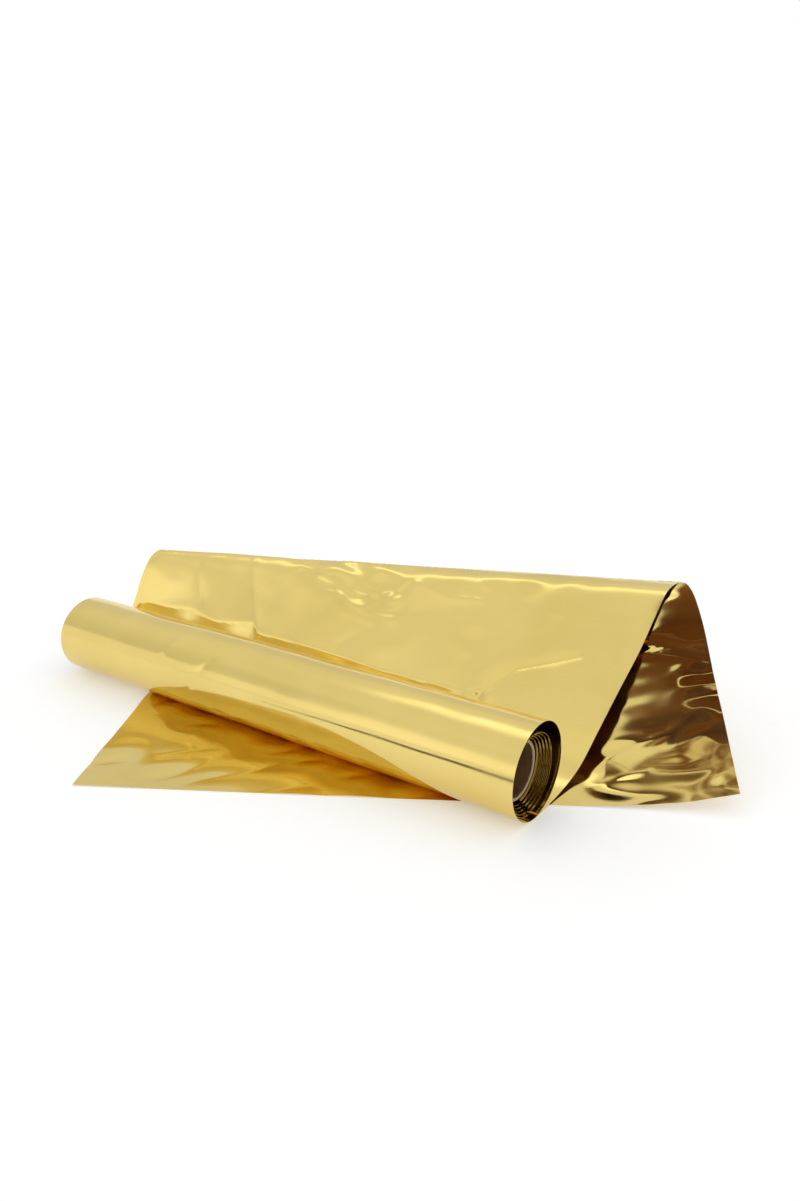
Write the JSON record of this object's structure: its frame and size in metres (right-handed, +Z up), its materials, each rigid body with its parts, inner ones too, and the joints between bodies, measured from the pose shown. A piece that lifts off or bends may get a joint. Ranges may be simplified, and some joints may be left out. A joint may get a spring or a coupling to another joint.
{
  "type": "roll of sign vinyl",
  "caption": "Part-used roll of mirror-gold sign film on a paper core, its loose tail laid under the roll and looped back over it in one soft ridge",
  "frame": {"origin": "centre of the bounding box at the table surface the roll and its tail lie on", "axes": "+X along the roll's axis towards its telescoped right end, +Y horizontal from the roll towards the ridge of the loop, +Z up"},
  "size_m": [0.769, 0.4933, 0.1475],
  "materials": {
    "gold_film": "mirror-metallised gold on both faces, lightly creased",
    "core_paper": "matte brown wound board",
    "core_liner": "matte dark brown board",
    "tape": "satin, translucent cream"
  },
  "bodies": {
    "sheet": {"film_tail": "gold_film", "film_ramp": "gold_film", "film_ridge": "gold_film", "film_front_strand": "gold_film", "film_outer_turn": "gold_film"},
    "turn_5": {"film_turn_5": "gold_film"},
    "turn_4": {"film_turn_4": "gold_film"},
    "turn_3": {"film_turn_3": "gold_film"},
    "turn_2": {"film_turn_2": "gold_film"},
    "core": {"film_turn_1": "gold_film", "start_tape": "tape", "core_outer_ply": "core_paper", "core_middle_ply": "core_paper", "core_inner_ply": "core_liner"}
  },
  "joints": [
    {"name": "roll_spin", "type": "hinge", "parent": "sheet", "child": "turn_5", "pos_m": [0.2425, -0.047, 0.0424], "axis": [1, 0, 0], "continuous": true},
    {"name": "telescope", "type": "slide", "parent": "turn_5", "child": "turn_4", "axis": [1, 0, 0], "range_m": [-0.00425, 0.00425]},
    {"name": "telescope_3", "type": "slide", "parent": "turn_4", "child": "turn_3", "axis": [1, 0, 0], "range_m": [-0.00425, 0.00425]},
    {"name": "telescope_2", "type": "slide", "parent": "turn_3", "child": "turn_2", "axis": [1, 0, 0], "range_m": [-0.00425, 0.00425]},
    {"name": "telescope_core", "type": "slide", "parent": "turn_2", "child": "core", "axis": [1, 0, 0], "range_m": [-0.00425, 0.00425]}
  ],
  "couplings": [
    {"joint": "telescope_3", "follows": "telescope", "ratio": 1},
    {"joint": "telescope_2", "follows": "telescope", "ratio": 1},
    {"joint": "telescope_core", "follows": "telescope", "ratio": 1}
  ]
}
